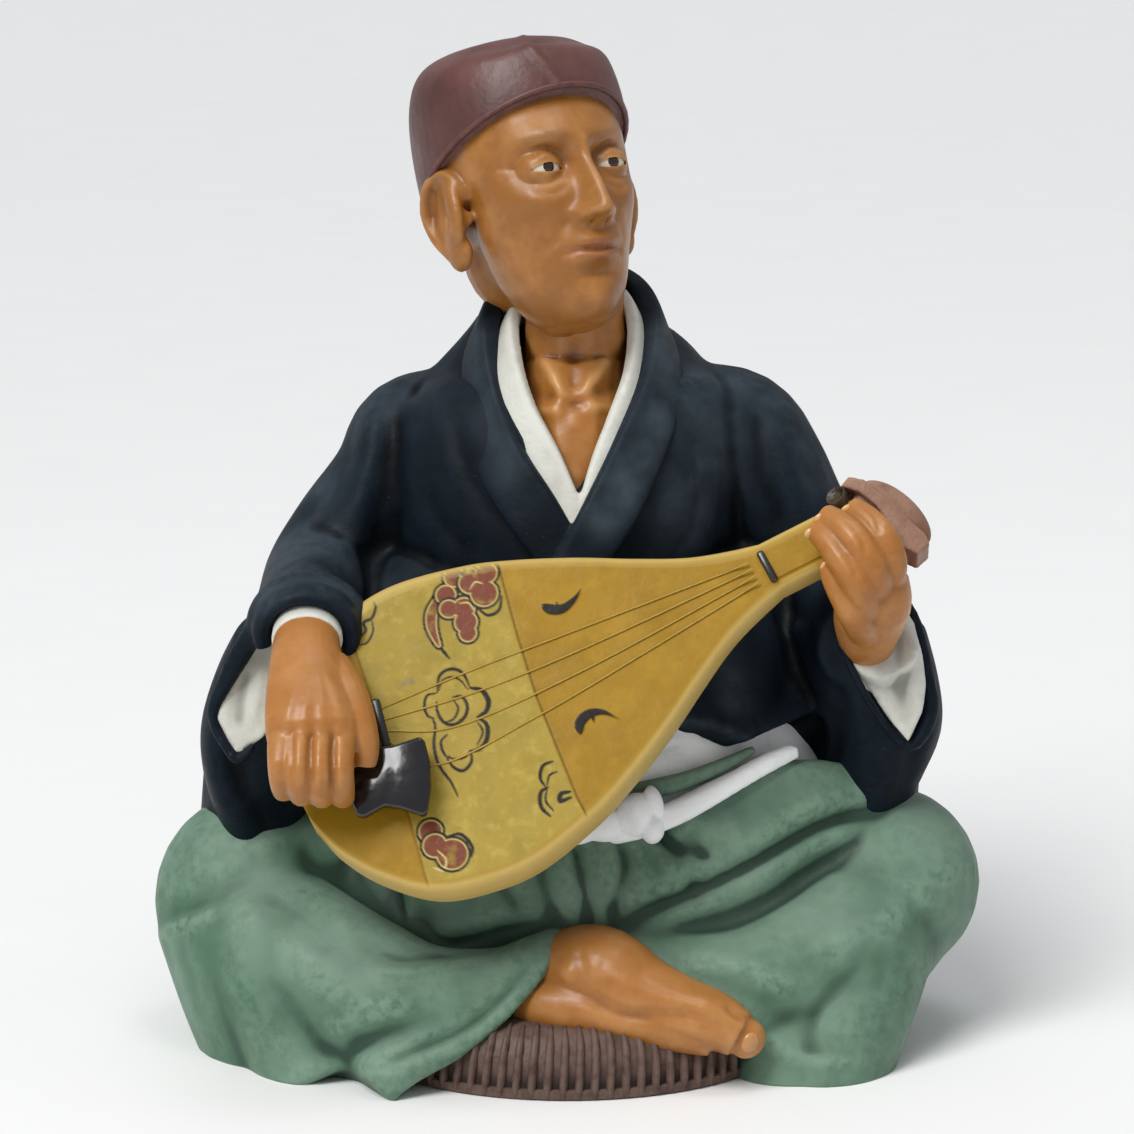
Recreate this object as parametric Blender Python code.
# A seated biwa player: a painted clay figurine on a small straw seat.
# Metres, +Z up, the figure faces -Y, and the origin is in the middle of the underside.
# The pose is written in parts of the figure's height, 240 of them from seat to cap.

import math

import bmesh
import bpy
import numpy as np
from mathutils import Matrix, Vector

# Driving sizes, in metres
FIGURE_HEIGHT = 0.240
CLEARANCE = 0.0003
BIWA_BODY_LENGTH = 0.1205
BIWA_BODY_WIDTH = 0.0750
BIWA_BODY_DEPTH = 0.013
BIWA_EDGE_ROUND = 0.0035
BIWA_NECK_LENGTH = 0.0235
BIWA_NECK_WIDTH = 0.0085
PEGBOX_LENGTH = 0.024
PEGBOX_WIDTH = 0.0125
PEG_DIAMETER = 0.0052
PEG_REACH = 0.0062
BRIDGE_LENGTH = 0.0118
BRIDGE_WIDTH = 0.0024
NUT_LENGTH = 0.0080
NUT_WIDTH = 0.0018
FITTING_HEIGHT = 0.0012
PLECTRUM_LENGTH = 0.0185
PLECTRUM_WIDTH = 0.0200
PLECTRUM_THICKNESS = 0.0030
SEAT_WIDTH = 0.112
SEAT_DEPTH = 0.110
SEAT_HEIGHT = 0.0155
RIB_SPACING = 0.0036
RIB_DEPTH = 0.0008

# One part of the figure's height
PART = FIGURE_HEIGHT / 240.0

# The eye from which the folds are drawn: a metre in front and a little above
EYE_TILT = math.radians(11.0)
EYE_DISTANCE = 1000.0
EYE_HEIGHT = 111.5

# Fineness, in parts
BODY_VOXEL = 1.7
HAND_VOXEL = 0.75
HEAD_VOXEL = 1.1

X_AXIS = np.array((1.0, 0.0, 0.0))
Y_AXIS = np.array((0.0, 1.0, 0.0))
Z_AXIS = np.array((0.0, 0.0, 1.0))


# Shapes: a shape is an array of points, in parts, and a list of faces

def smooth_line(points, steps):
    """A smooth curve through the points, as a Catmull-Rom spline."""
    knots = np.array(points, dtype=float)
    padded = np.vstack((2 * knots[0] - knots[1], knots, 2 * knots[-1] - knots[-2]))
    line = []
    for index in range(len(knots) - 1):
        before, start, end, after = padded[index:index + 4]
        for step in range(steps):
            t = step / steps
            line.append(0.5 * (2 * start + (end - before) * t
                               + (2 * before - 5 * start + 4 * end - after) * t ** 2
                               + (3 * start - before - 3 * end + after) * t ** 3))
    line.append(knots[-1])
    return np.array(line)


def loft(stations, reference, sides=20, steps=4):
    """A tube of oval rings. A station is x, y, z and the two half widths of its ring.

    The first half width lies across the reference, which may be a function of the place."""
    line = smooth_line(stations, steps)
    centres = line[:, :3]
    tangents = np.gradient(centres, axis=0)
    angles = np.linspace(0.0, 2.0 * math.pi, sides, endpoint=False)
    points = []
    for centre, tangent, widths in zip(centres, tangents, line[:, 3:]):
        across = np.cross(tangent, reference(centre) if callable(reference) else reference)
        across /= np.linalg.norm(across)
        along = np.cross(across, tangent)
        along /= np.linalg.norm(along)
        for angle in angles:
            points.append(centre + across * widths[0] * math.cos(angle)
                          + along * widths[1] * math.sin(angle))
    faces = []
    rings = len(line)
    for ring in range(rings - 1):
        for side in range(sides):
            a = ring * sides + side
            b = ring * sides + (side + 1) % sides
            faces.append((a, b, b + sides, a + sides))
    faces.append(tuple(range(sides))[::-1])
    faces.append(tuple(range((rings - 1) * sides, rings * sides)))
    return np.array(points), faces


def ball(centre, radii, turn=(0.0, 0.0, 0.0), sides=20, rings=12):
    """An ellipsoid, turned by three angles in degrees."""
    turned = np.array(Matrix.Rotation(math.radians(turn[2]), 3, "Z")
                      @ Matrix.Rotation(math.radians(turn[1]), 3, "Y")
                      @ Matrix.Rotation(math.radians(turn[0]), 3, "X"))
    points = [(0.0, 0.0, -1.0)]
    for ring in range(1, rings):
        polar = math.pi * ring / rings
        for side in range(sides):
            angle = 2.0 * math.pi * side / sides
            points.append((math.sin(polar) * math.cos(angle),
                           math.sin(polar) * math.sin(angle), -math.cos(polar)))
    points.append((0.0, 0.0, 1.0))
    faces = []
    for side in range(sides):
        nxt = (side + 1) % sides
        faces.append((0, 1 + nxt, 1 + side))
        top = 1 + (rings - 2) * sides
        faces.append((top + side, top + nxt, len(points) - 1))
        for ring in range(rings - 2):
            a = 1 + ring * sides + side
            b = 1 + ring * sides + nxt
            faces.append((a, b, b + sides, a + sides))
    return np.array(points) * np.array(radii) @ turned.T + np.array(centre), faces


def placed(shape, matrix):
    """The shape moved by a 4 x 4 matrix."""
    points, faces = shape
    grid = np.array(matrix)
    return points @ grid[:3, :3].T + grid[:3, 3], faces


# Objects

def new_object(name, shapes, scale=PART):
    """One object from several shapes, each with its faces turned outward."""
    form = bmesh.new()
    for points, faces in shapes:
        corners = [form.verts.new(Vector(point) * scale) for point in points]
        made = [form.faces.new([corners[index] for index in face]) for face in faces]
        bmesh.ops.recalc_face_normals(form, faces=made)
    mesh = bpy.data.meshes.new(name)
    form.to_mesh(mesh)
    form.free()
    item = bpy.data.objects.new(name, mesh)
    bpy.context.scene.collection.objects.link(item)
    return item


def bake(item):
    """Turns the object's modifiers into plain mesh."""
    graph = bpy.context.evaluated_depsgraph_get()
    mesh = bpy.data.meshes.new_from_object(item.evaluated_get(graph))
    old = item.data
    item.modifiers.clear()
    item.data = mesh
    bpy.data.meshes.remove(old)
    return item


def fused(name, shapes, voxel, smoothing=3):
    """Overlapping shapes melted into one skin."""
    item = new_object(name, shapes)
    remesh = item.modifiers.new("Skin", "REMESH")
    remesh.mode = "VOXEL"
    remesh.voxel_size = voxel * PART
    relax = item.modifiers.new("Relax", "SMOOTH")
    relax.factor = 0.5
    relax.iterations = smoothing
    return bake(item)


def thinned(item, triangles):
    """The skin brought down to about this many triangles."""
    bake_triangles(item)
    count = len(item.data.polygons)
    if count > triangles:
        thin = item.modifiers.new("Thin", "DECIMATE")
        thin.ratio = triangles / count
        bake(item)
    return item


def bake_triangles(item):
    """Splits every face into triangles."""
    form = bmesh.new()
    form.from_mesh(item.data)
    bmesh.ops.triangulate(form, faces=form.faces)
    form.to_mesh(item.data)
    form.free()


def combine(item, other, operation):
    """Joins, cuts or crops the object by another, which is then removed."""
    step = item.modifiers.new("Combine", "BOOLEAN")
    step.operation = operation
    step.solver = "EXACT"
    step.object = other
    bake(item)
    bpy.data.objects.remove(other)
    return item


def swollen(item, distance):
    """A copy of the object, larger all round by the distance."""
    form = bmesh.new()
    form.from_mesh(item.data)
    form.normal_update()
    for corner in form.verts:
        corner.co += corner.normal * distance * min(corner.calc_shell_factor(), 1.6)
    mesh = bpy.data.meshes.new("swollen")
    form.to_mesh(mesh)
    form.free()
    copy = bpy.data.objects.new("swollen", mesh)
    bpy.context.scene.collection.objects.link(copy)
    return copy


def clear_of(item, neighbours):
    """Cuts the object back so that it keeps the clearance to each neighbour."""
    for neighbour in neighbours:
        combine(item, swollen(neighbour, CLEARANCE), "DIFFERENCE")
    return item


# Carving: folds are lines on the picture that the eye in front sees

def picture(points):
    """Where points in space, in parts, stand on the picture plane."""
    rise = points[:, 2] - EYE_HEIGHT
    depth = EYE_DISTANCE + points[:, 1] * math.cos(EYE_TILT) - rise * math.sin(EYE_TILT)
    up = points[:, 1] * math.sin(EYE_TILT) + rise * math.cos(EYE_TILT)
    shrink = EYE_DISTANCE / depth
    return np.column_stack((points[:, 0] * shrink, EYE_HEIGHT + up * shrink))


def toward_space(spots, depth):
    """Points in space behind spots of the picture, at a depth from the picture plane."""
    spots = np.array(spots, dtype=float)
    grow = (EYE_DISTANCE + depth) / EYE_DISTANCE
    side = spots[:, 0] * grow
    up = (spots[:, 1] - EYE_HEIGHT) * grow
    back = up * math.sin(EYE_TILT) + depth * math.cos(EYE_TILT)
    height = EYE_HEIGHT + up * math.cos(EYE_TILT) - depth * math.sin(EYE_TILT)
    return np.column_stack((side, back, height))


def nearest(spots, line):
    """Distance to a line, which side of it, and how far along it, for every spot."""
    best = np.full(len(spots), 1e9)
    side = np.zeros(len(spots))
    share = np.zeros(len(spots))
    total = len(line) - 1
    for index in range(total):
        start = line[index]
        run = line[index + 1] - start
        t = np.clip(((spots - start) @ run) / (run @ run), 0.0, 1.0)
        gap = spots - start - t[:, None] * run
        reach = np.linalg.norm(gap, axis=1)
        closer = reach < best
        best = np.where(closer, reach, best)
        side = np.where(closer, np.sign(run[0] * gap[:, 1] - run[1] * gap[:, 0]), side)
        share = np.where(closer, (index + t) / total, share)
    return best, side, share


def carved(item, folds, back=False):
    """Presses folds into the front of the object, or into its back."""
    mesh = item.data
    points = np.array([corner.co for corner in mesh.vertices]) / PART
    normals = np.array([corner.normal for corner in mesh.vertices])
    flip = np.array((-1.0, -1.0, 1.0)) if back else np.ones(3)
    spots = picture(points * flip)
    facing = -(normals * flip) @ np.array((0.0, math.cos(EYE_TILT), -math.sin(EYE_TILT)))
    strength = np.clip(facing * 2.5, 0.0, 1.0)
    shift = np.zeros(len(points))
    for kind, size, width, line in folds:
        distance, side, share = nearest(spots, smooth_line(line, 5))
        fade = np.clip(np.minimum(share, 1.0 - share) * 5.0, 0.0, 1.0)
        if kind == "valley":
            shift -= size * fade * np.exp(-(distance / width) ** 2)
            shift += 0.35 * size * fade * np.exp(-((distance - 2.0 * width) / width) ** 2)
        elif kind == "ridge":
            shift += size * fade * np.exp(-(distance / width) ** 2)
        elif kind == "step":
            rise = np.where(side > 0, np.exp(-(distance / width) ** 2), 0.0)
            shift += size * fade * rise
    moved = points + normals * (shift * strength)[:, None]
    for corner, place in zip(mesh.vertices, moved):
        corner.co = Vector(place) * PART
    return item


def prism(outline, near, far):
    """A solid that fills an outline of the picture between two depths."""
    count = len(outline)
    points = np.vstack((toward_space(outline, near), toward_space(outline, far)))
    faces = [tuple(range(count)), tuple(range(2 * count - 1, count - 1, -1))]
    for index in range(count):
        nxt = (index + 1) % count
        faces.append((index, nxt, count + nxt, count + index))
    return points, faces


# The figure's clothes

TORSO = ((0, 18, 35, 60, 42), (0, 16, 60, 55, 40), (-1, 14, 90, 48, 38), (-1, 13, 115, 45, 39),
         (0, 13, 135, 46, 37), (1, 14, 149, 43, 32), (1, 15, 159, 33, 25), (1, 13, 167, 24, 19),
         (2, 11, 173, 18, 15))
RIGHT_SLEEVE = ((-22, 15, 148, 11, 11), (-36, 15, 141, 18, 16), (-43, 13, 130, 19, 15),
                (-52, 9, 118, 18, 15), (-59, 1, 109, 16, 14), (-61, -16, 105, 15, 13),
                (-61, -32, 105, 14, 12), (-60, -44, 105, 12, 11))
RIGHT_BAG = ((-61, -16, 107, 12, 27), (-67, -14, 92, 12.5, 26), (-72, -12, 78, 13, 25),
             (-74, -6, 64, 14, 24), (-75, 0, 46, 15, 24))
LEFT_SLEEVE = ((24, 15, 149, 11, 11), (39, 15, 142, 18, 17), (47, 13, 132, 19, 17),
               (56, 9, 118, 18, 15), (64, 3, 108, 17, 14), (67, -12, 103, 16, 13),
               (69, -26, 101, 14, 12), (70, -36, 100, 12, 11))
LEFT_BAG = ((65, -12, 106, 14, 23), (70, -11, 92, 15, 25), (74, -8, 78, 14, 25),
            (73, -4, 64, 13, 24), (71, 0, 48, 15, 23))
LEFT_SKIRT = ((24, 11, 104, 26, 33), (32, 7, 86, 32, 37), (38, 5, 70, 36, 38))
RIGHT_SKIRT = ((-24, 11, 104, 26, 33), (-32, 7, 86, 32, 37), (-38, 5, 70, 36, 38))
SASH = ((0, 12, 40, 58, 48), (0, 12, 50, 57, 46.5), (0, 12, 60, 54, 43), (0, 12, 68, 51, 38))
COLLAR = ((4, -29, 115, 5.5, 2.6), (12, -26, 128, 6.5, 2.6), (18, -19.5, 142, 6.5, 2.6),
          (22, -9, 156, 6.5, 2.6), (22, 5, 168, 6.5, 2.8), (15, 19, 175, 6.5, 2.8),
          (2, 25, 177, 6.5, 2.8), (-12, 19, 175, 6.5, 2.8), (-20, 5, 168, 6.5, 2.8),
          (-20, -8, 154, 6.5, 2.6), (-17, -18.5, 140, 6.5, 2.4), (-10, -25, 128, 6.5, 2.2),
          (-3, -28, 117, 5.5, 2.0))
UNDER_COLLAR = ((6, -25, 128, 4, 1.8), (9, -22.5, 139, 4, 1.8), (13, -17, 149, 4, 1.8),
                (17, -8, 160, 4, 1.8), (17, 3, 170, 4.5, 1.8), (11, 14, 175, 5, 1.8),
                (2, 18, 176, 5, 1.8), (-8, 14, 175, 5, 1.8), (-14, 3, 170, 4.5, 1.8),
                (-14, -8, 162, 4, 1.8), (-11, -15.5, 152, 4, 1.8), (-5, -21.5, 141, 4, 1.8),
                (2, -25.5, 129, 4, 1.8))


def from_neck(place):
    """The way out from the neck's axis, tipped up a little."""
    out = np.array((place[0] - 2.0, place[1] - 8.0, 0.0))
    return out / np.linalg.norm(out) + np.array((0.0, 0.0, 0.3))


def coat_forms():
    return [loft(TORSO, Y_AXIS, 28), loft(pulled(RIGHT_SLEEVE, right_shift()), X_AXIS),
            loft(RIGHT_BAG, Y_AXIS), loft(pulled(LEFT_SLEEVE, left_shift()), X_AXIS),
            loft(LEFT_BAG, Y_AXIS), ball((48, 6, 84), (28, 26, 36)), ball((-46, 6, 84), (26, 26, 36)),
            loft(LEFT_SKIRT, Y_AXIS, 28), loft(RIGHT_SKIRT, Y_AXIS, 28)]


COAT_FOLDS = (
    ("valley", 2.4, 2.6, ((-41, 152), (-42, 144), (-44, 132), (-46, 119), (-47, 106))),
    ("ridge", 1.2, 3.0, ((-46, 153), (-48, 142), (-52, 128), (-57, 116))),
    ("valley", 1.0, 1.8, ((-36, 158), (-37, 150), (-36, 143))),
    ("valley", 2.2, 2.6, ((46, 150), (46, 142), (47, 134), (50, 125), (48, 116))),
    ("ridge", 0.9, 2.5, ((53, 150), (53, 140), (55, 128))),
    ("valley", 1.2, 2.2, ((-70, 112), (-62, 104), (-52, 101))),
    ("valley", 1.6, 2.4, ((50, 108), (54, 92), (50, 74))),
    ("valley", 1.2, 2.2, ((66, 92), (72, 80), (74, 68))),
    ("ridge", 1.2, 3.0, ((40, 86), (44, 76), (42, 66))),
)
COAT_BACK_FOLDS = (
    ("valley", 1.8, 3.0, ((-42, 146), (-44, 132), (-42, 112))),
    ("valley", 1.8, 3.0, ((42, 146), (44, 132), (42, 112))),
    ("valley", 1.2, 3.0, ((-20, 92), (-8, 84), (6, 84), (20, 92))),
    ("valley", 1.0, 2.6, ((-30, 78), (-12, 70), (10, 70), (28, 78))),
)


def trouser_forms():
    return [ball((0, 6, 28), (80, 50, 33)),
            loft(((-20, 14, 36, 26, 24), (-48, 4, 34, 25, 24), (-70, -9, 32, 24, 25)), Z_AXIS),
            ball((-77, -14, 32), (23, 24, 26)),
            loft(((-76, -16, 30, 24, 25), (-71, -23, 12, 22, 24), (-66, -27, -6, 19, 22)), Y_AXIS),
            loft(((-72, -26, 22, 20, 24), (-52, -42, 17, 18, 21), (-34, -51, 14, 16, 18),
                  (-16, -51, 17, 12, 14), (-2, -46, 22, 9, 11)), Z_AXIS),
            ball((-52, -48, 6), (16, 14, 14)),
            loft(((0, 4, -8, 66, 47), (0, 4, 12, 66, 47)), Y_AXIS, 32),
            loft(((-44, -65, 0, 8, 9), (-38, -62, 5, 9, 11), (-26, -58, 11, 9, 13),
                  (-14, -53, 18, 9, 13), (-4, -48, 25, 8, 10), (0, -44, 28, 6, 7)), Z_AXIS),
            loft(((20, 14, 38, 26, 24), (46, 4, 38, 25, 24), (68, -8, 37, 24, 23)), Z_AXIS),
            ball((77, -14, 37), (23, 24, 23)),
            loft(((76, -16, 35, 22, 24), (66, -25, 15, 17, 21), (58, -34, -6, 15, 24)), Y_AXIS),
            loft(((74, -24, 30, 18, 20), (58, -37, 21, 17, 19), (40, -43, 17, 15, 17),
                  (22, -43, 19, 12, 15), (6, -40, 22, 10, 13)), Z_AXIS),
            ball((60, -48, 3), (15, 16, 11))]


TROUSER_FOLDS = (
    ("valley", 1.8, 2.2, ((-76, 33), (-64, 25), (-48, 17), (-41, 13))),
    ("valley", 1.6, 2.2, ((-84, 44), (-67, 42), (-48, 33), (-35, 28), (-20, 23))),
    ("valley", 2.6, 2.6, ((-44, 17), (-29, 19), (-13, 23), (-2, 23))),
    ("valley", 2.2, 2.4, ((-64, -8), (-56, -3), (-45, 1), (-34, 6))),
    ("ridge", 1.6, 2.6, ((-62, -12), (-52, -7), (-38, -3))),
    ("ridge", 1.0, 2.4, ((-47, -13), (-38, -8), (-26, -3), (-15, 6), (-7, 14), (-3, 21))),
    ("valley", 2.6, 2.4, ((78, 54), (66, 50), (49, 39), (35, 34), (24, 30), (9, 23))),
    ("ridge", 1.8, 3.0, ((98, 43), (83, 31), (71, 22), (58, 16))),
    ("valley", 1.4, 2.0, ((26, 15), (39, 13), (53, 6), (64, 2))),
    ("valley", 1.4, 1.8, ((50, -4), (59, -7), (68, -8), (76, -7))),
    ("valley", 2.2, 2.0, ((22, 49), (30, 47), (41, 46), (39, 43), (34, 40), (33, 35))),
    ("valley", 1.4, 1.5, ((3, 48), (4, 39), (7, 30), (9, 24))),
    ("valley", 1.4, 1.5, ((13, 48), (17, 39), (20, 30), (22, 27))),
    ("valley", 1.2, 1.5, ((-2, 46), (0, 35), (2, 25))),
    ("valley", 1.2, 1.5, ((-7, 38), (-11, 31), (-16, 25))),
    ("valley", 1.2, 1.6, ((24, 45), (26, 38), (30, 33))),
)

HEM_OPENING = ((-40, -22), (-41.5, -17), (-36, -13), (-26, -7.5), (-14, 3), (-6, 12), (-2, 20),
               (6, 21), (13, 18), (20, 12), (34, 8), (42, 2), (47, -7), (47, -22))


def seat_shape():
    """A low round mat whose straw ribs run down its side, cut off flat below."""
    across = SEAT_WIDTH / 2.0 / PART
    deep = SEAT_DEPTH / 2.0 / PART
    tall = SEAT_HEIGHT / PART
    ribs = 2 * int(math.pi * (across + deep) * PART / RIB_SPACING / 2.0)
    points = []
    levels = ((-0.20, 1.0, 0.0), (0.12, 1.0, 0.0), (0.16, 1.0, 1.0), (0.62, 0.985, 1.0),
              (0.92, 0.93, 0.8), (1.0, 0.84, 0.0))
    for height, reach, rib in levels:
        for side in range(2 * ribs):
            angle = math.pi * side / ribs
            groove = rib * RIB_DEPTH / PART * (side % 2)
            points.append(((across * reach - groove) * math.cos(angle),
                           (deep * reach - groove) * math.sin(angle) - 16.5, height * tall))
    sides = 2 * ribs
    faces = [tuple(range(sides))[::-1], tuple(range((len(levels) - 1) * sides, len(levels) * sides))]
    for level in range(len(levels) - 1):
        for side in range(sides):
            a = level * sides + side
            b = level * sides + (side + 1) % sides
            faces.append((a, b, b + sides, a + sides))
    return np.array(points), faces


def foot_forms():
    """The bare right foot, laid on the seat with its toes toward the left knee."""
    forms = [loft(((-14, -36, 26, 10, 10), (-2, -46, 25.5, 11, 10.5), (7.5, -52, 25, 11, 11),
                   (17, -56, 21.5, 10, 8.8), (26, -59.5, 20, 8.4, 7.8), (34, -62, 17.5, 7.4, 6.8),
                   (40, -63, 14, 5.6, 5.2)), Z_AXIS),
             ball((-3, -55, 21), (8.5, 10, 6.5)), ball((1, -60, 26), (4.5, 4, 4.5))]
    for toe in range(5):
        forms.append(ball((42.0 - 1.6 * toe, -67.0 + 3.4 * toe, 11.8 + 1.8 * toe),
                          (4.8 - 0.4 * toe, 2.9 - 0.2 * toe, 3.3 - 0.2 * toe), (0, 20, 12)))
    return forms


NECK = ((2, 12, 150, 17, 15), (2, 8, 160, 13.5, 13), (2, 5, 170, 12, 12.5), (1, 3, 184, 12.5, 13))
CHEST = ((2, 4, 122, 16, 25), (2, 3, 138, 16, 23), (2, 4, 150, 14.5, 19), (2, 6, 160, 12.5, 15))


def neck_forms():
    return [loft(NECK, Y_AXIS), loft(CHEST, Y_AXIS),
            loft(((-11, -4, 178, 2.4, 2.4), (-5, -9, 166, 2.2, 2.2), (1, -15, 154, 2.0, 2.0)), X_AXIS, 10),
            loft(((12, -3, 176, 2.2, 2.2), (8, -9, 165, 2.0, 2.0), (3, -15, 154, 2.0, 2.0)), X_AXIS, 10)]


CHEST_WINDOW = ((-15, 178), (-14, 165), (-12, 154), (-7, 142), (2, 129), (9, 141), (14, 154),
                (17, 166), (17, 178))
RIGHT_CUFF = ((-86, 82), (-78, 95), (-72, 104), (-60, 110), (-53, 106), (-52, 98), (-66, 90),
              (-71, 78), (-78, 68), (-84, 72))
LEFT_CUFF = ((65, 96), (69, 93), (76, 95), (80, 103), (84.5, 93), (87, 82), (86, 77), (83, 70),
             (78, 74), (71, 86))


# The lute's frame: its middle on the lap, its long axis up to the left shoulder
BIWA_MIDDLE = Vector((-12.8, -60.0, 93.0)) * PART
BIWA_ALONG = Vector((0.890, 0.166, 0.425)).normalized()
BIWA_OUT = Vector((-0.063, -0.877, 0.476))
BIWA_ACROSS = BIWA_OUT.cross(BIWA_ALONG).normalized()
BIWA_TAIL_SHARE = 0.444

# Half width of the soundboard, as shares of its length and half width
BOARD_OUTLINE = ((0.0, 0.16), (0.02, 0.38), (0.07, 0.64), (0.15, 0.88), (0.25, 0.98), (0.35, 1.0),
                 (0.48, 0.91), (0.57, 0.80), (0.68, 0.63), (0.78, 0.45), (0.88, 0.29), (1.0, 0.17))


def biwa_matrix():
    turn = Matrix((BIWA_ALONG, BIWA_ACROSS, BIWA_ALONG.cross(BIWA_ACROSS))).transposed()
    return Matrix.Translation(BIWA_MIDDLE) @ turn.to_4x4()


def biwa_spot(along, across, out):
    """A place on the lute, in metres from the middle of its soundboard, in world parts."""
    return np.array(biwa_matrix() @ Vector((along, across, out))) / PART


def biwa_tail():
    return -BIWA_TAIL_SHARE * BIWA_BODY_LENGTH


def neck_start():
    return (1.0 - BIWA_TAIL_SHARE) * BIWA_BODY_LENGTH


def body_rings():
    """The rings of the lute's body and neck, in metres, in the lute's own frame."""
    shares = smooth_line(BOARD_OUTLINE, 2)
    rings = []
    for share, wide in shares:
        along = biwa_tail() + share * BIWA_BODY_LENGTH
        half = max(wide * BIWA_BODY_WIDTH / 2.0, BIWA_NECK_WIDTH / 2.0)
        slim = np.clip(half / (BIWA_BODY_WIDTH / 4.0), 0.0, 1.0)
        deep = BIWA_NECK_WIDTH + (BIWA_BODY_DEPTH - BIWA_NECK_WIDTH) * slim
        rings.append((along, half, deep))
    rings.append((neck_start() + BIWA_NECK_LENGTH, BIWA_NECK_WIDTH / 2.0, BIWA_NECK_WIDTH))
    return rings


def board_ring(along, half, deep):
    """One flat-topped ring, with its edges rounded in front and behind."""
    edge = min(BIWA_EDGE_ROUND, half * 0.45, deep * 0.45)
    corners = []
    for across, out, start in ((half, 0.0, 0), (-half, 0.0, 1), (-half, -deep, 2), (half, -deep, 3)):
        middle_across = across - math.copysign(edge, across)
        middle_out = out - edge if out == 0.0 else out + edge
        for step in range(3):
            angle = math.radians(90.0 * start + 45.0 * step)
            corners.append((along, middle_across + edge * math.cos(angle), middle_out + edge * math.sin(angle)))
    return corners


def slab(middle, size, edge, turn=0.0):
    """A block with softened edges, turned about the outward axis, in the lute's frame."""
    form = bmesh.new()
    spread = Matrix.Diagonal((*size, 1.0))
    bmesh.ops.create_cube(form, size=1.0, matrix=Matrix.Translation(middle)
                          @ Matrix.Rotation(turn, 4, "Z") @ spread)
    bmesh.ops.bevel(form, geom=form.edges, offset=edge, segments=1, affect="EDGES")
    points = np.array([corner.co for corner in form.verts])
    faces = [tuple(corner.index for corner in face.verts) for face in form.faces]
    form.free()
    return points, faces


def rod(start, end, radius, sides=12):
    """A round rod between two places, in the lute's frame."""
    line = np.array((start, end))
    stations = [(*line[0], radius, radius), (*line[1], radius, radius)]
    return loft(stations, Z_AXIS, sides, 1)


def make_biwa():
    rings = body_rings()
    corners = [corner for ring in rings for corner in board_ring(*ring)]
    sides = len(board_ring(*rings[0]))
    faces = [tuple(range(sides)), tuple(range(len(corners) - sides, len(corners)))]
    for ring in range(len(rings) - 1):
        for side in range(sides):
            nxt = (side + 1) % sides
            faces.append((ring * sides + side, ring * sides + nxt,
                          (ring + 1) * sides + nxt, (ring + 1) * sides + side))
    place = biwa_matrix()
    biwa = new_object("biwa", [placed((np.array(corners), faces), place)], 1.0)
    head_along = neck_start() + BIWA_NECK_LENGTH + PEGBOX_WIDTH * 0.35
    pegbox = slab(Vector((head_along, -0.0018, -0.0045)), (PEGBOX_WIDTH, PEGBOX_LENGTH, 0.0125), 0.0028, 0.29)
    peg_start = Vector((head_along - PEGBOX_WIDTH * 0.2, PEGBOX_LENGTH * 0.22, -0.002))
    peg = rod(peg_start, peg_start + Vector((-PEG_REACH - 0.004, 0.0015, 0.001)), PEG_DIAMETER / 2.0)
    nut_along = neck_start() - NUT_WIDTH / 2.0
    nut = slab(Vector((nut_along, 0.0, 0.0)), (NUT_WIDTH, NUT_LENGTH, 2 * FITTING_HEIGHT), 0.0004)
    bridge_along = biwa_tail() + 0.19 * BIWA_BODY_LENGTH
    bridge = slab(Vector((bridge_along, BIWA_BODY_WIDTH * 0.11, 0.0)),
                  (BRIDGE_WIDTH, BRIDGE_LENGTH, 2 * FITTING_HEIGHT), 0.0005)
    for name, shape in (("pegbox", pegbox), ("peg", peg), ("nut", nut), ("bridge", bridge)):
        combine(biwa, new_object(name, [placed(shape, place)], 1.0), "UNION")
    return biwa


# The hands, each tied to the place on the lute that it holds

LEFT_HOLD = (62.9, -45.9, 129.1)
RIGHT_HOLD = (-38.7, -68.0, 74.8)


def left_shift():
    hold = biwa_spot(neck_start() + BIWA_NECK_LENGTH * 0.75, 0.0, 0.0)
    return hold - np.array(LEFT_HOLD)


def right_shift():
    hold = biwa_spot(biwa_tail() + 0.178 * BIWA_BODY_LENGTH, -BIWA_BODY_WIDTH * 0.08, 0.0)
    return hold - np.array(RIGHT_HOLD)


def pulled(stations, shift):
    """Stations whose far end follows a shift, while the near end stays."""
    last = len(stations) - 1
    return [(*(np.array(station[:3]) + shift * (index / last) ** 2), *station[3:])
            for index, station in enumerate(stations)]


def moved(shape, shift):
    return shape[0] + np.array(shift), shape[1]


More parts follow.
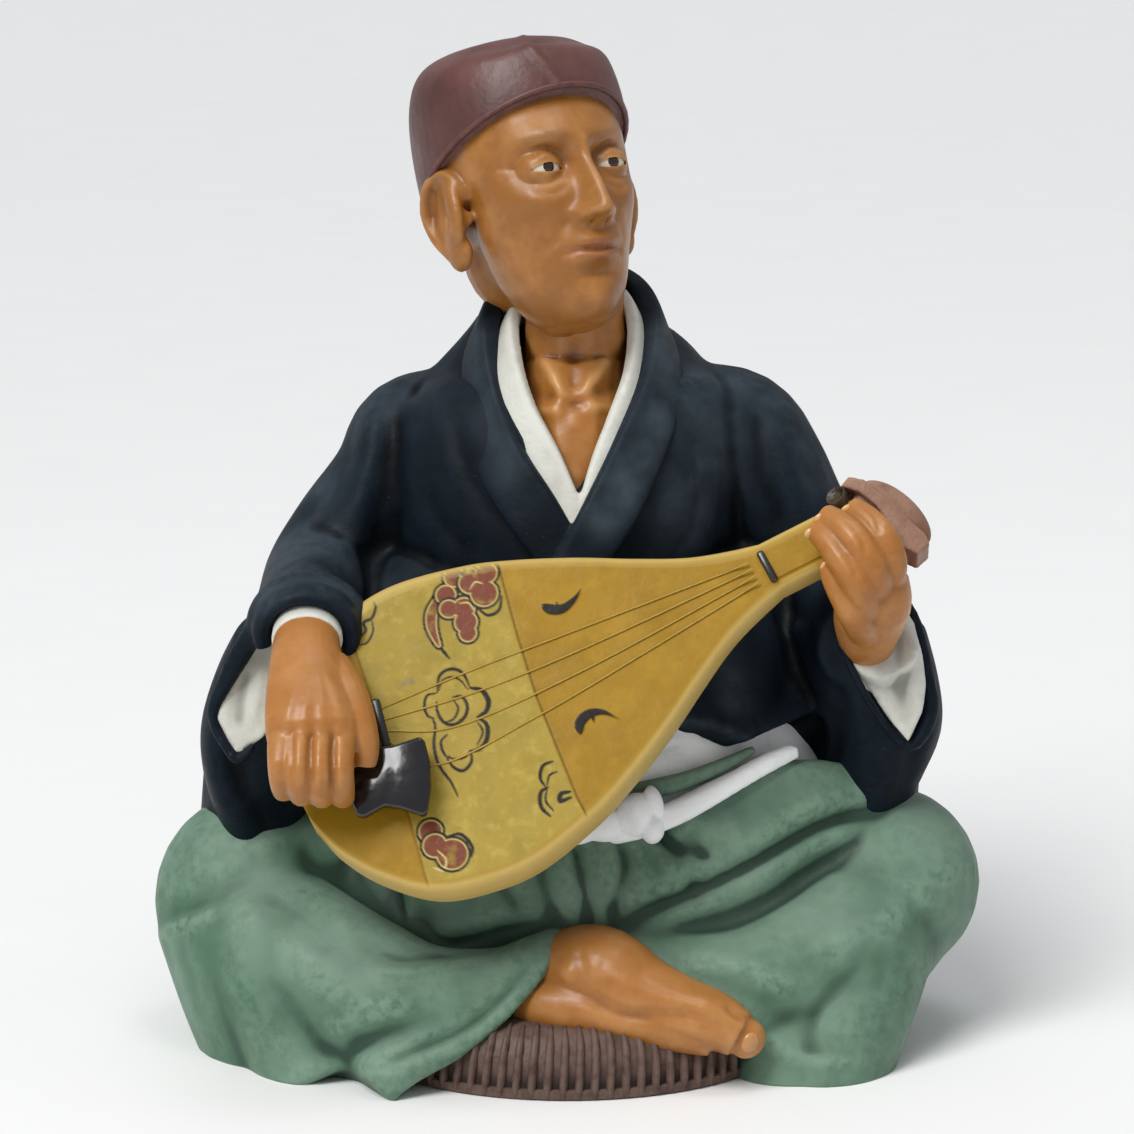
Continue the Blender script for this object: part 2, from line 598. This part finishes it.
def left_hand_forms():
    forms = [loft(((69.5, -29, 96, 7, 7), (69.5, -38, 102, 7, 7), (69.8, -45, 109, 7.2, 8.0),
                   (70.6, -49, 115, 8, 8.6), (71.0, -49, 120, 7, 7.2)), X_AXIS),
             loft(((73.5, -50, 116, 3.7, 3.7), (74.3, -56, 123.5, 3.6, 3.6), (72.4, -56, 129.5, 3.3, 3.3),
                   (69, -53, 133, 3.1, 3.1), (65.6, -49.5, 135.2, 2.5, 2.5)), Y_AXIS, 12),
             loft(((70.5, -51, 113, 3.8, 3.8), (70.6, -58, 121, 3.8, 3.8), (66.8, -58, 128, 3.5, 3.5),
                   (63, -54.5, 131.8, 3.2, 3.2), (59.5, -50.5, 133.6, 2.6, 2.6)), Y_AXIS, 12),
             loft(((69, -51, 109, 3.8, 3.8), (67.4, -59, 117, 3.7, 3.7), (63.9, -59, 123.5, 3.4, 3.4),
                   (60.2, -55.5, 127.8, 3.1, 3.1), (57.2, -51.5, 130.6, 2.6, 2.6)), Y_AXIS, 12),
             loft(((69, -50, 106, 3.4, 3.4), (66.6, -56.5, 110.5, 3.4, 3.4), (63.8, -57.5, 115.5, 3.1, 3.1),
                   (61.4, -56, 120, 2.9, 2.9), (60.2, -53.5, 123.6, 2.4, 2.4)), Y_AXIS, 12),
             loft(((72, -40, 108, 4.4, 4.4), (74, -36, 118, 4.2, 4.2), (72, -35, 127, 3.8, 3.8),
                   (68, -37, 133, 3.2, 3.2)), X_AXIS, 12)]
    return [moved(form, left_shift()) for form in forms]


def right_hand_forms():
    forms = [loft(((-60, -38, 108, 6.6, 7), (-59.8, -50, 107, 6.6, 7.2), (-59.5, -61, 102.5, 6.3, 8),
                   (-58.5, -70, 96, 6, 9.6), (-57.6, -77, 90, 5.6, 10), (-57.2, -78, 85, 4.6, 9)), X_AXIS)]
    fingers = ((-63.9, -79, 87.5), (-59.9, -81, 87), (-55.4, -81, 86.6), (-51, -79.5, 86.2))
    for index, (side, front, top) in enumerate(fingers):
        thick = (3.1, 3.3, 3.4, 3.3)[index]
        forms.append(loft(((side + 1.0, front + 5, top + 6, thick, thick), (side, front, top, thick, thick),
                           (side, front - 4.5, top - 4.5, thick * 0.95, thick * 0.95),
                           (side + 0.2, front - 3, top - 9, thick * 0.9, thick * 0.9),
                           (side + 0.3, front + 1, top - 12.5, thick * 0.75, thick * 0.8)), X_AXIS, 12))
    forms.append(loft(((-54, -62, 100, 5, 5), (-50, -69, 95.5, 4.6, 4.6), (-47, -73.5, 90, 3.8, 3.8),
                       (-45.8, -75, 84.5, 3.4, 3.4), (-46, -75.5, 80.5, 2.8, 2.8)), X_AXIS, 12))
    return [moved(form, right_shift()) for form in forms]


def make_plectrum():
    """A flared blade held flat above the strings, with its stem inside the fist."""
    half = PLECTRUM_WIDTH / 2.0
    length = PLECTRUM_LENGTH * 0.72
    stem = 0.16 * PLECTRUM_WIDTH
    outline = ((-length, -stem), (-0.08 * length, -stem), (0.0, -0.72 * half), (0.12 * length, -0.80 * half),
               (0.5 * length, -0.72 * half), (0.85 * length, -0.84 * half), (0.97 * length, -0.92 * half),
               (length, -0.84 * half), (1.04 * length, 0.0), (length, 0.84 * half),
               (0.97 * length, 0.92 * half), (0.85 * length, 0.84 * half), (0.5 * length, 0.72 * half),
               (0.12 * length, 0.80 * half), (0.0, 0.72 * half), (-0.08 * length, stem), (-length, stem))
    form = bmesh.new()
    corners = [form.verts.new((x, y, 0.0)) for x, y in outline]
    face = form.faces.new(corners)
    raised = bmesh.ops.extrude_face_region(form, geom=[face])["geom"]
    tops = [item for item in raised if isinstance(item, bmesh.types.BMVert)]
    bmesh.ops.translate(form, verts=tops, vec=(0.0, 0.0, PLECTRUM_THICKNESS))
    bmesh.ops.recalc_face_normals(form, faces=form.faces)
    rims = [edge for edge in form.edges if abs(edge.verts[0].co.z - edge.verts[1].co.z) < 1e-6]
    bmesh.ops.bevel(form, geom=rims, offset=PLECTRUM_THICKNESS * 0.2, segments=1, affect="EDGES")
    place = biwa_matrix() @ Matrix.Translation((biwa_tail() + 0.125 * BIWA_BODY_LENGTH,
                                                -BIWA_BODY_WIDTH * 0.05, 0.0042))
    form.transform(place @ Matrix.Rotation(math.radians(-24.0), 4, "Z"))
    mesh = bpy.data.meshes.new("plectrum")
    form.to_mesh(mesh)
    form.free()
    item = bpy.data.objects.new("plectrum", mesh)
    bpy.context.scene.collection.objects.link(item)
    return item


# The head, in its own frame: the face looks along -Y and the crown is up

HEAD_PLACE = (-7.2, 4.5, 203.0)
HEAD_TURN = (-15.0, -1.0, 30.0)


def head_matrix():
    turn = (Matrix.Rotation(math.radians(HEAD_TURN[2]), 4, "Z")
            @ Matrix.Rotation(math.radians(HEAD_TURN[1]), 4, "Y")
            @ Matrix.Rotation(math.radians(HEAD_TURN[0]), 4, "X"))
    return Matrix.Translation(HEAD_PLACE) @ turn


def head_forms():
    """A calm, evenly proportioned face: eyes halfway up, nose and mouth a third and two thirds below."""
    forms = [ball((0, 4, 7), (22.5, 27, 26)),
             loft(((0, -4, 10, 20.5, 20), (0, -5, 0, 20.5, 20), (0, -6, -10, 19.5, 19.5),
                   (0, -8, -20, 17, 17.5), (0, -11, -29, 12.5, 13), (0, -13, -35, 7, 8)), Y_AXIS),
             loft(((0, -22.5, 5, 2.4, 2.6), (0, -25.5, -2, 2.8, 3.2), (0, -28, -7.5, 3.8, 3.8),
                   (0, -26, -11, 4.0, 2.8)), Y_AXIS, 12),
             ball((0, -25.0, -17.2), (6.6, 2.8, 1.7)), ball((0, -24.4, -20.2), (5.6, 2.8, 1.9)),
             ball((0, -21.5, -29), (7, 5, 5.5)), ball((0, 12, -14), (15, 12, 16))]
    for side in (-1, 1):
        forms += [ball((4.0 * side, -25.2, -9.0), (2.3, 2.8, 2.2)),
                  ball((8.6 * side, -20.6, 8), (7.2, 3.6, 2.4), (0, -6 * side, 0)),
                  ball((8.6 * side, -19.4, 1.5), (5.0, 4.4, 3.3)),
                  ball((12.5 * side, -15.5, -7), (7, 7, 7)),
                  ball((22.5 * side, 3.5, -3), (3.0, 6.6, 10.0), (8, 0, 14 * side)),
                  ball((21.6 * side, 0.5, -12), (2.8, 3.8, 4.6))]
    return [placed(form, head_matrix()) for form in forms]


def cap_forms():
    forms = [loft(((0, 5, -12, 22, 25), (0, 5, 0, 24.6, 28), (0, 5, 14, 25.2, 28.6),
                   (0, 5.5, 25, 24.2, 26.6), (0, 6, 32, 20, 21.5), (0, 6, 35.5, 12, 13)), Y_AXIS, 24),
             loft(((0, -19, 26, 2.5, 3), (0, -9, 33, 3, 3), (0, 6, 35.8, 3, 3),
                   (0, 20, 32, 3, 3), (0, 28, 24, 2.5, 3)), X_AXIS, 10)]
    return [placed(form, head_matrix()) for form in forms]


BRIM_TILT = math.radians(24.0)
BRIM_HEIGHT = 9.0


def below_brim():
    """A block that fills everything below the cap's tilted brim."""
    points, faces = slab(Vector((0.0, 0.0, -50.0)), (120.0, 120.0, 100.0), 1.0)
    tilt = Matrix.Translation((0.0, 0.0, BRIM_HEIGHT)) @ Matrix.Rotation(-BRIM_TILT, 4, "X")
    return placed((points, faces), head_matrix() @ tilt)


def make_head():
    head = thinned(fused("head", head_forms(), HEAD_VOXEL, 2), HEAD_TRIANGLES)
    cap = thinned(fused("cap", cap_forms(), HEAD_VOXEL * 1.4, 4), CAP_TRIANGLES)
    combine(cap, new_object("below_brim", [below_brim()]), "DIFFERENCE")
    return combine(head, cap, "UNION")


# Triangles given to each part of the figure
COAT_TRIANGLES = 1750
TROUSER_TRIANGLES = 1700
FOOT_TRIANGLES = 360
NECK_TRIANGLES = 240
COLLAR_TRIANGLES = 200
HAND_TRIANGLES = 560
HEAD_TRIANGLES = 1000
CAP_TRIANGLES = 240


def collar_band(name, stations):
    """A band round the neck, whose crossed ends lie on the chest."""
    return thinned(fused(name, [loft(stations, from_neck, 14)], 1.2), COLLAR_TRIANGLES)


def make_coat():
    coat = fused("coat", coat_forms(), BODY_VOXEL)
    carved(coat, COAT_FOLDS)
    carved(coat, COAT_BACK_FOLDS, back=True)
    thinned(coat, COAT_TRIANGLES)
    combine(coat, new_object("window", [prism(CHEST_WINDOW, -60.0, 12.0)]), "DIFFERENCE")
    combine(coat, new_object("right_cuff", [prism(RIGHT_CUFF, -70.0, -33.0)]), "DIFFERENCE")
    combine(coat, new_object("left_cuff", [prism(LEFT_CUFF, -70.0, -29.0)]), "DIFFERENCE")
    combine(coat, collar_band("under_collar", UNDER_COLLAR), "UNION")
    return combine(coat, collar_band("collar", COLLAR), "UNION")


def make_trousers():
    trousers = fused("trousers", trouser_forms(), BODY_VOXEL)
    carved(trousers, TROUSER_FOLDS)
    thinned(trousers, TROUSER_TRIANGLES)
    return combine(trousers, new_object("hem", [prism(HEM_OPENING, -110.0, -36.0)]), "DIFFERENCE")


def main_body_only(item):
    """Drops the loose chips that a cut can leave, and keeps the largest piece."""
    form = bmesh.new()
    form.from_mesh(item.data)
    waiting = set(form.verts)
    bodies = []
    while waiting:
        ready = [waiting.pop()]
        found = []
        while ready:
            corner = ready.pop()
            found.append(corner)
            near = [edge.other_vert(corner) for edge in corner.link_edges]
            ready += [other for other in near if other in waiting]
            waiting.difference_update(near)
        bodies.append(found)
    bodies.sort(key=len)
    for loose in bodies[:-1]:
        bmesh.ops.delete(form, geom=loose, context="VERTS")
    form.to_mesh(item.data)
    form.free()
    return item


def make_body(neighbours):
    body = make_coat()
    combine(body, make_trousers(), "UNION")
    combine(body, thinned(fused("neck", neck_forms(), 1.4), NECK_TRIANGLES), "UNION")
    combine(body, new_object("sash", [loft(SASH, Y_AXIS, 32, 2)]), "UNION")
    combine(body, new_object("knot", [ball((14, -34, 61), (8, 5, 4.5), sides=12, rings=6)]), "UNION")
    combine(body, thinned(fused("foot", foot_forms(), 1.0, 2), FOOT_TRIANGLES), "UNION")
    combine(body, new_object("seat", [seat_shape()]), "UNION")
    combine(body, new_object("below", [slab(Vector((0, 0, -50)), (400, 400, 100), 1.0)]), "DIFFERENCE")
    body.name = "body"
    return main_body_only(clear_of(body, neighbours))


def finish(item, colour, roughness, sharp=40.0):
    """Gives the object its material and smooth shading."""
    material = bpy.data.materials.new(item.name + "_finish")
    material.use_nodes = True
    shader = material.node_tree.nodes["Principled BSDF"]
    shader.inputs["Base Color"].default_value = (*colour, 1.0)
    shader.inputs["Roughness"].default_value = roughness
    shader.inputs["Metallic"].default_value = 0.0
    item.data.materials.clear()
    item.data.materials.append(material)
    item.data.shade_smooth()
    item.data.set_sharp_from_angle(angle=math.radians(sharp))


def main():
    for item in list(bpy.data.objects):
        bpy.data.objects.remove(item)
    biwa = make_biwa()
    plectrum = make_plectrum()
    head = make_head()
    left_hand = thinned(fused("left_hand", left_hand_forms(), HAND_VOXEL, 2), HAND_TRIANGLES)
    right_hand = thinned(fused("right_hand", right_hand_forms(), HAND_VOXEL, 2), HAND_TRIANGLES)
    clear_of(left_hand, [biwa])
    clear_of(right_hand, [biwa, plectrum])
    body = make_body([head, left_hand, right_hand, biwa, plectrum])
    finish(body, (0.035, 0.045, 0.06), 0.5)
    finish(head, (0.42, 0.18, 0.05), 0.4)
    finish(left_hand, (0.42, 0.18, 0.05), 0.35)
    finish(right_hand, (0.42, 0.18, 0.05), 0.35)
    finish(biwa, (0.42, 0.27, 0.06), 0.45)
    finish(plectrum, (0.01, 0.01, 0.01), 0.15)


if __name__ == "__main__":
    main()
